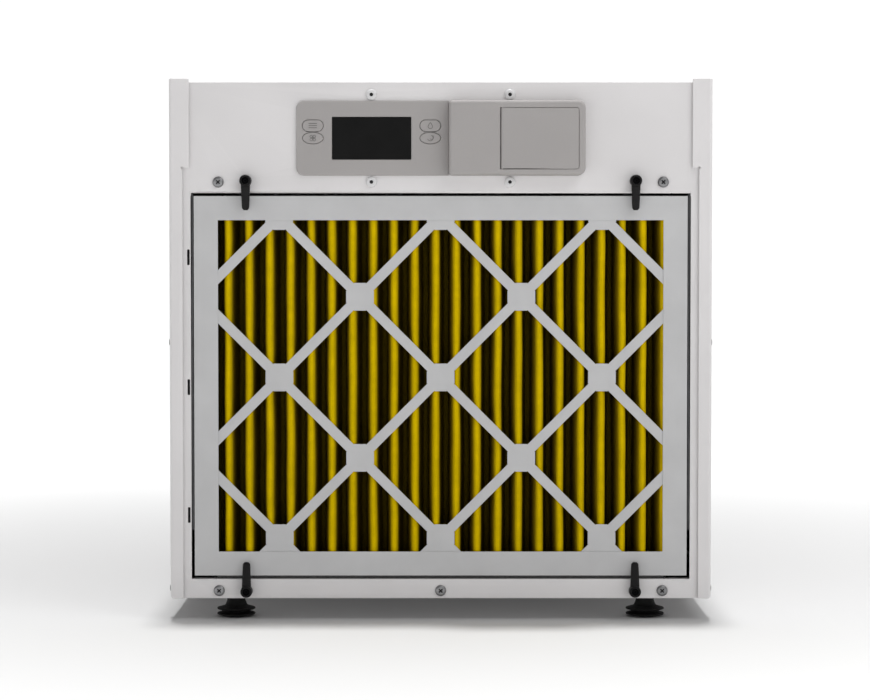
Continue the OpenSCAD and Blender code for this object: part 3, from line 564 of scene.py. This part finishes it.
# Fillets in millimetres
SHEET_PARTS = {
    "base_pan": 0.4, "left_side_panel": 0.5, "right_side_panel": 0.5, "top_panel": 0.5,
    "rear_panel": 0.5, "duct_collar": 0.4, "filter_guides": 0.3,
    "fan_bulkhead": 0.3, "motor_bracket": 0.3, "electrical_box": 0.3,
}
filter_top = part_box("filter_frame")[1].z


def over_filter(co):
    """On the bend of the front panel above the filter."""
    return co.y < front_y + TOUCH and filter_top < co.z < filter_top + 4 * MM


for part, fillet in SHEET_PARTS.items():
    refine(part, fillet)
refine("front_panel", 0.5, 2, 2.0, over_filter)

for part in ("filter_seal", "cabinet_insulation"):
    refine(part, 1.0, 3)


# ---------------------------------------------------------------- screws

SHANK_RADIUS = 2 * MM
# The rest are shares of the head's radius and height
SOCKET_FLAT = 0.33
CROSS_ARM, CROSS_HALF_WIDTH = 0.46, 0.13
RECESS_DEPTH = 0.62
PAN = [
    (1.0, 0.0), (1.0, 0.3), (0.985, 0.42), (0.95, 0.55), (0.89, 0.68), (0.8, 0.81), (0.7, 0.9),
    (0.6, 0.95),
]
# Painted shade: dark rings inside each screw's recess, as shares of the recess's edge and depth
RECESS_SHADE = ((0.55, 1.0), (0.95, 0.62), (0.93, 0.5))    # of the recess's edge and depth


def hex_socket(a):
    """Edge of a hexagonal socket at angle a."""
    return SOCKET_FLAT / math.cos((a + math.pi / 6) % (math.pi / 3) - math.pi / 6)


def cross_recess(a):
    """Edge of a cross recess at angle a."""
    fold = abs((a + math.pi / 4) % (math.pi / 2) - math.pi / 4)
    return min(CROSS_ARM / math.cos(fold), CROSS_HALF_WIDTH / max(math.sin(fold), 1e-6))


def screw_head(bm, dark, centre, axis, radius, height, recess, floor, steps=96):
    """Domed head with a recess that is floor deep; centre is on the surface that it lies on.
    The painted shade in the recess, dark rings down its walls, goes into the mesh called dark."""
    axis = Vector(axis).normalized()
    side = axis.orthogonal().normalized()
    other = axis.cross(side)
    turns = [math.tau * i / steps for i in range(steps)]
    rim = [recess(a) for a in turns]

    def circle(mesh, shares, level):
        return [
            mesh.verts.new(
                Vector(centre) + radius * share * (side * math.cos(a) + other * math.sin(a))
                + axis * level
            )
            for share, a in zip(shares, turns)
        ]

    def skin(mesh, rings):
        for low, high in zip(rings, rings[1:]):
            for i in range(steps):
                j = (i + 1) % steps
                mesh.faces.new((low[i], low[j], high[j], high[i]))

    levels = [([share] * steps, level * height) for share, level in PAN]
    levels += [
        ([r + 0.03 for r in rim], 0.985 * height),
        (rim, 0.97 * height),
        ([0.9 * r for r in rim], height - 0.75 * floor),
        ([0.55 * r for r in rim], height - floor),
    ]
    rings = [circle(bm, shares, level) for shares, level in levels]
    skin(bm, rings)
    for edge, level in ((rings[0], 0.0), (rings[-1], height - floor)):
        middle = bm.verts.new(Vector(centre) + axis * level)
        for i in range(steps):
            bm.faces.new((edge[i], edge[(i + 1) % steps], middle))
    # Painted shade: dark rings that line the recess
    recess_shade = [
        circle(dark, [share * r for r in rim], height - deep * floor) for share, deep in RECESS_SHADE
    ]
    skin(dark, recess_shade)
    dark.faces.new(recess_shade[0])
    dark.faces.new(recess_shade[-1])


def shank(bm, centre, axis, radius, length, pitch=0.7):
    """Threaded shank below a head, as a stack of thread rings."""
    root, tip = radius * 0.82, radius * 0.7
    profile = [(0.0, -length), (tip, -length)]
    for i in range(int(length / (pitch * MM))):
        z = -length + (i + 0.5) * pitch * MM
        profile += [(root, z - 0.25 * pitch * MM), (radius, z)]
    profile += [(root, -0.2 * MM), (root, 0.0), (0.0, 0.0)]
    lathe(bm, profile, centre, axis, 20)


def islands(node):
    """Low and high corners of each separate solid of a CAD node."""
    bm = bmesh.new()
    bm.from_mesh(frame["nodes"][node].data)
    bmesh.ops.remove_doubles(bm, verts=bm.verts, dist=WELD)
    seen, found = set(), []
    for vert in bm.verts:
        if vert.index in seen:
            continue
        stack, group = [vert], []
        seen.add(vert.index)
        while stack:
            here = stack.pop()
            group.append(here.co.copy())
            for edge in here.link_edges:
                there = edge.other_vert(here)
                if there.index not in seen:
                    seen.add(there.index)
                    stack.append(there)
        found.append((
            Vector(tuple(min(p[i] for p in group) for i in range(3))),
            Vector(tuple(max(p[i] for p in group) for i in range(3))),
        ))
    bm.free()
    return sorted(found, key=lambda pair: tuple(round(v, 5) for v in pair[0]))


def screw_set(node, axis, radius, height, recess=cross_recess):
    """Rebuilds a group of screws where the CAD has them. Without axis they point out sideways."""
    bm, dark = bmesh.new(), bmesh.new()
    for low, high in islands(node):
        middle = (low + high) / 2
        out = Vector(axis) if axis else Vector((math.copysign(1, middle.x), 0, 0))
        i = max(range(3), key=lambda k: abs(out[k]))
        seat = middle.copy()
        seat[i] = (high[i] if out[i] > 0 else low[i]) - out[i] * height
        screw_head(bm, dark, seat, out, radius, height, recess, RECESS_DEPTH * height)
        shank(bm, seat, out, SHANK_RADIUS, (high[i] - low[i]) - height)
    smooth(add_piece(node + "_finished", bm, node), 50)
    # The recess's painted shade, as its own dark piece
    add_piece(node + "_grime", dark, slot="screw_dark", body=BODY_OF[node])


screw_set("front_panel_screws", (0, -1, 0), 5 * MM, 2.8 * MM)
screw_set("control_panel_screws", (0, -1, 0), 5 * MM, 2.8 * MM, hex_socket)
screw_set("rear_panel_screws", (0, 1, 0), 4 * MM, 2.5 * MM)
screw_set("side_panel_screws", None, 4 * MM, 2.5 * MM)


# ---------------------------------------------------------------- feet

def foot(node):
    """Two-disc rubber foot with rounded rims, bored for its stud. The profile starts under the
    middle of its base and runs out, up and back in to the bore."""
    low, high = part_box(node)
    centre = ((low.x + high.x) / 2, (low.y + high.y) / 2, low.z)
    rim = (high.x - low.x) / 2
    tall = high.z - low.z
    bore = 4.05 * MM
    profile = [(0.0, 3 * MM), (0.0, 0.4 * MM), (5 * MM, 0.4 * MM), (5.4 * MM, 0.0)]
    profile += [(rim - 8 * MM, 0.0), (rim - 7 * MM, 0.25 * MM), (rim - 1 * MM, 1.5 * MM)]
    profile += arc((rim - 0.8 * MM, 2.5 * MM), 0.8 * MM, -70, 70, 8)
    profile += [(rim - 4.4 * MM, 4.3 * MM)]
    profile += arc((rim - 4.6 * MM, 4.95 * MM), 0.4 * MM, 250, 110, 5)
    profile += [(rim - 1 * MM, 6.45 * MM)]
    profile += arc((rim - 0.8 * MM, 7.3 * MM), 0.8 * MM, -70, 70, 8)
    profile += [(rim - 6.6 * MM, 9.85 * MM), (rim - 7.6 * MM, 10.8 * MM)]
    profile += [(rim - 8.8 * MM, 13.6 * MM), (8.4 * MM, 14.8 * MM), (8 * MM, tall - 0.4 * MM)]
    profile += [(7.6 * MM, tall), (bore + 0.4 * MM, tall), (bore, tall - 0.4 * MM)]
    profile += [(bore, 3 * MM), (0.0, 3 * MM)]
    bm = bmesh.new()
    lathe(bm, profile, centre, (0, 0, 1), 96)
    bmesh.ops.remove_doubles(bm, verts=bm.verts, dist=0.001 * MM)
    smooth(add_piece(node + "_finished", bm, node), 40)


for part in ("front_left_foot", "front_right_foot", "rear_left_foot", "rear_right_foot"):
    foot(part)


# ---------------------------------------------------------------- filter

for part, fillet in {"filter_frame": 0.18, "filter_grid": 0.12}.items():
    refine(part, fillet)


PLEAT_PITCH = 18.69 * MM
PLEAT_RADIUS = 2.8 * MM
MEDIA_THICKNESS = 0.9 * MM
MEDIA_LEAN = 1.2 * MM       # how far a flank runs past upright between two ridges
MEDIA_ROWS = 72
WAVE, SAG = 0.45 * MM, 0.15 * MM


def pleat_lines():
    """The sheet's two faces seen from above, as points from left to right."""
    half = MEDIA_THICKNESS / 2
    first = media_low.x + PLEAT_RADIUS + 0.5 * MM
    count = round((media_high.x - media_low.x - 2 * PLEAT_RADIUS) / PLEAT_PITCH)
    front = media_low.y + PLEAT_RADIUS + half + 0.15 * MM
    back = media_high.y - PLEAT_RADIUS - half - 0.15 * MM
    outer, inner = [], []
    for k in range(count):
        x = first + k * PLEAT_PITCH
        for at, y, end, sign in ((x, front, 360, 1), (x + PLEAT_PITCH / 2, back, 0, -1)):
            flank = at + PLEAT_RADIUS
            for line, step in ((outer, sign * half), (inner, -sign * half)):
                line += arc((at, y), PLEAT_RADIUS + step, 180, end, 8)
                line.append((flank + step + MEDIA_LEAN, (front + back) / 2))
    return outer[:-1], inner[:-1]


def filter_media():
    """The pleated sheet, swept down the filter with the small waviness of folded fibre."""
    outer, inner = pleat_lines()
    outline = outer + inner[::-1]
    low, high = media_low.z, media_high.z
    bm = bmesh.new()
    grid = []
    for r in range(MEDIA_ROWS + 1):
        z = low + (high - low) * r / MEDIA_ROWS
        line = []
        for x, y in outline:
            wave = noise.noise(Vector((x * 60, 3.1, z * 22))) * WAVE
            sag = noise.noise(Vector((x * 60, 9.7, z * 30))) * SAG
            line.append(bm.verts.new((
                min(max(x + wave, media_low.x), media_high.x),
                min(max(y + sag, media_low.y), media_high.y),
                z,
            )))
        grid.append(line)
    points = len(outline)
    for a, b in zip(grid, grid[1:]):
        for i in range(points):
            j = (i + 1) % points
            bm.faces.new((a[i], a[j], b[j], b[i]))
    for line in (grid[0], grid[-1]):
        for i in range(len(outer) - 1):
            bm.faces.new((line[i], line[i + 1], line[points - 2 - i], line[points - 1 - i]))
    smooth(add_piece("filter_media_pleats", bm, "filter_media"), 60)


filter_media()


# ---------------------------------------------------------------- levers

def superellipse(half_x, half_y, power=3.2, steps=28):
    """Points of a rounded rectangle."""
    points = []
    for i in range(steps):
        a = math.tau * i / steps
        c, s = math.cos(a), math.sin(a)
        points.append((
            half_x * math.copysign(abs(c) ** (2 / power), c),
            half_y * math.copysign(abs(s) ** (2 / power), s),
        ))
    return points


def bake(obj):
    """Applies an object's modifiers to its mesh."""
    graph = bpy.context.evaluated_depsgraph_get()
    made = bpy.data.meshes.new_from_object(obj.evaluated_get(graph), depsgraph=graph)
    obj.modifiers.clear()
    obj.data = made


def lever_boss(bm, centre, radius, depth):
    """Round boss that rises depth from its centre towards the front."""
    rounding = 1.5 * MM
    profile = [(0.0, 0.0), (radius - 0.5 * MM, 0.0), (radius, 0.5 * MM), (radius, depth - 1.6 * MM)]
    profile += arc((radius - rounding, depth - rounding), rounding, 0, 90, 5)
    profile += [(0.0, depth)]
    lathe(bm, profile, centre, (0, -1, 0), 48)


def lever_arm(bm, x, pivot_z, reach, top, stations=16):
    """Tapering arm from the pivot to its rounded tip; its front falls away from top."""
    back = front_y - 2.5 * MM
    rings = []
    for i in range(stations + 1):
        t = i / stations
        end = (1 - max(0.0, (t - 0.88) / 0.12) ** 3) ** (1 / 3)
        half = (4.3 - 1.05 * t) * MM * (0.55 + 0.45 * end)
        front = top + (0.8 + 4.2 * t ** 0.8) * MM
        mid, thick = (front + back) / 2, (back - front) / 2 * (0.5 + 0.5 * end)
        rings.append([
            bm.verts.new((x + px, mid + py, pivot_z + reach * t))
            for px, py in superellipse(half, thick)
        ])
    for a, b in zip(rings, rings[1:]):
        for k in range(len(a)):
            m = (k + 1) % len(a)
            bm.faces.new((a[k], a[m], b[m], b[k]))
    bm.faces.new(rings[0])
    bm.faces.new(rings[-1])


def lever_cutter(centre):
    """Bore for the pivot screw, wider where its head sinks in."""
    bore, sink, step, end = 2.56 * MM, 3.5 * MM, 8.6 * MM, 14 * MM
    bm = bmesh.new()
    profile = [(0, -1 * MM), (bore, -1 * MM), (bore, step), (sink, step), (sink, end), (0, end)]
    lathe(bm, profile, centre, (0, -1, 0), 48)
    bmesh.ops.recalc_face_normals(bm, faces=bm.faces)
    mesh = bpy.data.meshes.new("bore")
    bm.to_mesh(mesh)
    bm.free()
    cutter = bpy.data.objects.new("bore", mesh)
    scene.collection.objects.link(cutter)
    return cutter


def lever(node, up):
    """Moulded turn lever: a round boss and a tapering arm, blended into one skin. Its arm points
    up or, with up below nothing, down."""
    low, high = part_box(node)
    boss = (high.x - low.x) / 2
    x = (low.x + high.x) / 2
    pivot_z = low.z + boss if up > 0 else high.z - boss
    pivot = (x, high.y, pivot_z)
    reach = (high.z - low.z) - boss
    bm = bmesh.new()
    lever_boss(bm, pivot, boss, high.y - low.y)
    lever_arm(bm, x, pivot_z, up * (reach - 0.05 * MM), low.y)
    obj = add_piece(node + "_finished", bm, node)
    remesh = obj.modifiers.new("skin", "REMESH")
    remesh.mode = "VOXEL"
    remesh.voxel_size = 0.28 * MM
    relax = obj.modifiers.new("relax", "SMOOTH")
    relax.factor = 0.6
    relax.iterations = 5
    cutter = lever_cutter(pivot)
    cut = obj.modifiers.new("bore", "BOOLEAN")
    cut.object = cutter
    cut.solver = "EXACT"
    bake(obj)
    bpy.data.objects.remove(cutter)
    smooth(obj, 45)


for part, direction in {
    "top_left_lever": -1, "top_right_lever": -1, "bottom_left_lever": 1, "bottom_right_lever": 1
}.items():
    lever(part, direction)
refine("lever_pivots", 0.25)


# ---------------------------------------------------------------- controls

refine("control_panel", 0.6, 3)
house_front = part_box("terminal_housing")[0].y
door_low, door_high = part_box("access_door")


def on_rim(co):
    """On the housing's outer front edge, clear of the door's recess."""
    beside = door_low.x - 8 * MM < co.x < door_high.x + 2 * MM
    level = door_low.z - 2 * MM < co.z < door_high.z + 2 * MM
    return co.y < house_front + TOUCH and not (beside and level)


def on_door_edge(co):
    """On the door's front edge, clear of the hinge."""
    return co.y < door_low.y + TOUCH and co.x > door_low.x + 1.5 * MM


def fill_gap(co):
    """Step that brings the door's free edges closer to the recess round them."""
    step, border = 0.3 * MM, 4 * MM
    up = co.z - (door_low.z + door_high.z) / 2
    reach = (door_high.z - door_low.z) / 2 - border
    return Vector((
        step if co.x > door_high.x - border else 0,
        0,
        math.copysign(step, up) if abs(up) > reach else 0,
    ))


def narrow_channel(co):
    """Step that brings the wall of the hinge's channel closer to the hinge."""
    wall = door_low.x - 0.75 * MM
    return Vector((0.2 * MM if abs(co.x - wall) < 0.15 * MM else 0, 0, 0))


refine("terminal_housing", 0.3, 2, 3.0, on_rim, narrow_channel)
refine("access_door", 0.12, 2, 0.9, on_door_edge, fill_gap)
refine("door_hinge_pin", 0.2)
refine("display_lens", 0.3, 2)
refine("control_board", 0.2)
refine("terminal_block", 0.3)
for part in ("power_button", "mode_button", "up_button", "down_button"):
    refine(part, 0.7, 4)


def bar(bm, centre, width, height, depth, turn=0.0):
    """Small rounded bar lying on a button, in the X-Z plane."""
    made = bmesh.ops.create_cube(bm, size=1.0)["verts"]
    size = Matrix.Diagonal((width, depth, height, 1.0))
    place = Matrix.Translation(centre) @ Matrix.Rotation(turn, 4, "Y") @ size
    bmesh.ops.transform(bm, matrix=place, verts=made)


def ring(bm, centre, radius, width, depth, start=0.0, end=360.0, steps=28):
    """Flat raised ring or part of one, in the X-Z plane."""
    sections = []
    for i in range(steps + 1):
        a = math.radians(start + (end - start) * i / steps)
        out = Vector((math.sin(a), 0, math.cos(a)))
        sections.append([
            bm.verts.new(Vector(centre) + out * (radius + w) + Vector((0, d, 0)))
            for w, d in ((-width / 2, 0), (-width / 2, -depth), (width / 2, -depth), (width / 2, 0))
        ])
    closed = abs(end - start) >= 360
    if closed:
        for vert in sections.pop():
            bm.verts.remove(vert)
        sections.append(sections[0])
    for a, b in zip(sections, sections[1:]):
        for k in range(4):
            m = (k + 1) % 4
            bm.faces.new((a[k], a[m], b[m], b[k]))
    if not closed:
        bm.faces.new(sections[0])
        bm.faces.new(sections[-1])


def icon(node, draw):
    """A printed pictogram, slightly raised, in the middle of a button."""
    low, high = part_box(node)
    bm = bmesh.new()
    face = Vector(((low.x + high.x) / 2, low.y, (low.z + high.z) / 2))
    draw(bm, face)
    fillet_edges(bm, 0.05 * MM, 1)
    smooth(add_piece(node + "_icon", bm, slot=SLOT_OF[node], body=BODY_OF[node], material=ICON_INK))


RAISED = 0.16 * MM
SUNK = Vector((0, -RAISED / 2 + 0.02 * MM, 0))      # seats a bar in the button's face


def menu_icon(bm, at):
    for i in (-1, 0, 1):
        bar(bm, at + SUNK + Vector((0, 0, i * 1.9 * MM)), 7.5 * MM, 0.7 * MM, RAISED)


def fan_icon(bm, at):
    for i in range(4):
        turn = math.radians(45 + 90 * i)
        out = Vector((math.sin(turn), 0, math.cos(turn))) * 2.2 * MM
        ring(bm, at + out * 0.9, 1.15 * MM, 0.5 * MM, RAISED)
    ring(bm, at, 0.5 * MM, 0.5 * MM, RAISED)


def drop_icon(bm, at):
    ring(bm, at + Vector((0, 0, -0.7 * MM)), 2.0 * MM, 0.6 * MM, RAISED, 60, 300)
    for s in (-1, 1):
        place = at + SUNK + Vector((s * 0.95 * MM, 0, 1.5 * MM))
        bar(bm, place, 0.6 * MM, 3.1 * MM, RAISED, math.radians(-s * 31))


def moon_icon(bm, at):
    ring(bm, at, 2.5 * MM, 0.6 * MM, RAISED, 20, 250)
    ring(bm, at + Vector((1.1 * MM, 0, 0.7 * MM)), 1.9 * MM, 0.5 * MM, RAISED, 30, 230)


icon("power_button", menu_icon)
icon("mode_button", fan_icon)
icon("up_button", drop_icon)
icon("down_button", moon_icon)


# ---------------------------------------------------------------- inside

# Fillets in millimetres. Parts with none keep the CAD's mesh: their fins and bends are fine enough.
INNER_PARTS = {
    "foot_studs": 0.3, "compressor": 0.5, "compressor_grommets": 0.8, "compressor_studs": 0.3,
    "accumulator": 0.3, "evaporator_fins": 0.0, "evaporator_tubes": 0.0, "condenser_fins": 0.0,
    "condenser_tubes": 0.0, "drain_pan": 0.5, "drain_tube": 0.3, "drain_fitting": 0.4,
    "drain_float": 0.6, "float_switch": 0.3, "fan_motor": 1.2, "fan_impeller": 0.3,
    "run_capacitor": 1.0, "refrigerant_lines": 0.0, "filter_drier": 0.6, "cord_gland": 0.4,
}
for part, fillet in INNER_PARTS.items():
    if fillet:
        refine(part, fillet)
    else:
        node = frame["nodes"][part]
        node.data.materials.clear()
        node.data.materials.append(MATERIALS[SLOT_OF[part]])


# ---------------------------------------------------------------- stage, light and camera

# The first floor colour is a painted shadow near the cabinet; the floor brightens to the second
# further out
FLOOR_SHADOW, FLOOR_FAR = (0.60, 0.60, 0.60), (0.985, 0.985, 0.985)
SKY_LOW, SKY_HIGH = 1.06, 0.30
KEY_POWER, KEY_LEAN, KEY_SPREAD = 2.4, 5, 7
SIDE_POWER, SIDE_SIZE = 6.5, 1.1
UNDER_POWER, UNDER_HEIGHT = 0.065, 19 * MM
CAMERA_DISTANCE, CAMERA_PITCH, SEEN_WIDTH, SENSOR_WIDTH = 2.25, math.radians(2.0), 0.7836, 36


def studio():
    """Pale floor, wide enough to reach the horizon, with a painted shadow: darker near the cabinet.
    """
    n = Nodes("floor_with_painted_shadow")
    away = n.add("ShaderNodeVectorMath", operation="LENGTH")
    n.link(n.coords, away.inputs["Vector"])
    # Painted shadow: darker near the origin, brightening from 0.2 m out to 1.2 m
    tint = n.mix(n.ramp(away.outputs["Value"], 0, 1, 0.2, 1.2), FLOOR_SHADOW, FLOOR_FAR)
    n.bumps((n.noise(60, 3), 0.02, 0.001))
    n.finish(Base_Color=tint, Roughness=0.8, Specular_IOR_Level=0.1)
    bm = bmesh.new()
    bmesh.ops.create_grid(bm, x_segments=4, y_segments=4, size=14)
    mesh = bpy.data.meshes.new("floor")
    bm.to_mesh(mesh)
    bm.free()
    mesh.materials.append(n.material)
    floor = bpy.data.objects.new("floor", mesh)
    scene.collection.objects.link(floor)


def sky():
    """Soft light from all round, brightest at the horizon."""
    world = bpy.data.worlds.new("studio")
    world.use_nodes = True
    tree = world.node_tree
    coords = tree.nodes.new("ShaderNodeTexCoord")
    split = tree.nodes.new("ShaderNodeSeparateXYZ")
    rise = tree.nodes.new("ShaderNodeMapRange")
    rise.interpolation_type = "SMOOTHSTEP"
    rise.inputs["From Min"].default_value = 0.12
    rise.inputs["From Max"].default_value = 0.28
    rise.inputs["To Min"].default_value = SKY_LOW
    rise.inputs["To Max"].default_value = SKY_HIGH
    tree.links.new(coords.outputs["Generated"], split.inputs["Vector"])
    tree.links.new(split.outputs["Z"], rise.inputs["Value"])
    background = tree.nodes["Background"]
    background.inputs["Color"].default_value = (1, 1, 1, 1)
    tree.links.new(rise.outputs["Result"], background.inputs["Strength"])
    scene.world = world


def lamp(name, kind, place, target, power):
    """A lamp at place that shines at target."""
    data = bpy.data.lights.new(name, kind)
    data.energy = power
    holder = bpy.data.objects.new(name, data)
    holder.location = place
    holder.rotation_mode = "QUATERNION"
    holder.rotation_quaternion = (Vector(target) - Vector(place)).to_track_quat("-Z", "Y")
    scene.collection.objects.link(holder)
    return data


def lights():
    """Overhead key a little behind the upright, a softbox on the right, and a faint fill under
    the cabinet."""
    lean = math.radians(KEY_LEAN)
    key = lamp("key", "SUN", (0, math.sin(lean), math.cos(lean)), (0, 0, 0), KEY_POWER)
    key.angle = math.radians(KEY_SPREAD)
    place, target = (0.8, front_y - 0.8, 1.5), (0.05, front_y, 0.36)
    side = lamp("softbox", "AREA", place, target, SIDE_POWER)
    side.shape, side.size = "DISK", SIDE_SIZE
    x, y, _ = (final_low + final_high) / 2
    below = lamp("under_fill", "AREA", (x, y, UNDER_HEIGHT), (x, y, 0), UNDER_POWER)
    below.shape, below.size, below.size_y = "RECTANGLE", 0.44, 0.7


def camera():
    """Long lens from the front, a little above the middle of the cabinet."""
    target = Vector((-0.0051, front_y, 0.2445))
    away = Vector((0, -math.cos(CAMERA_PITCH), math.sin(CAMERA_PITCH)))
    data = bpy.data.cameras.new("camera")
    data.sensor_width = SENSOR_WIDTH
    data.lens = SENSOR_WIDTH * CAMERA_DISTANCE / SEEN_WIDTH
    data.clip_start, data.clip_end = 0.05, 60
    cam = bpy.data.objects.new("camera", data)
    cam.location = target + CAMERA_DISTANCE * away
    cam.rotation_euler = (math.radians(90) - CAMERA_PITCH, 0, 0)
    scene.collection.objects.link(cam)
    scene.camera = cam


scene.view_settings.view_transform = "Standard"
final_low, final_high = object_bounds()
studio()
sky()
lights()
camera()
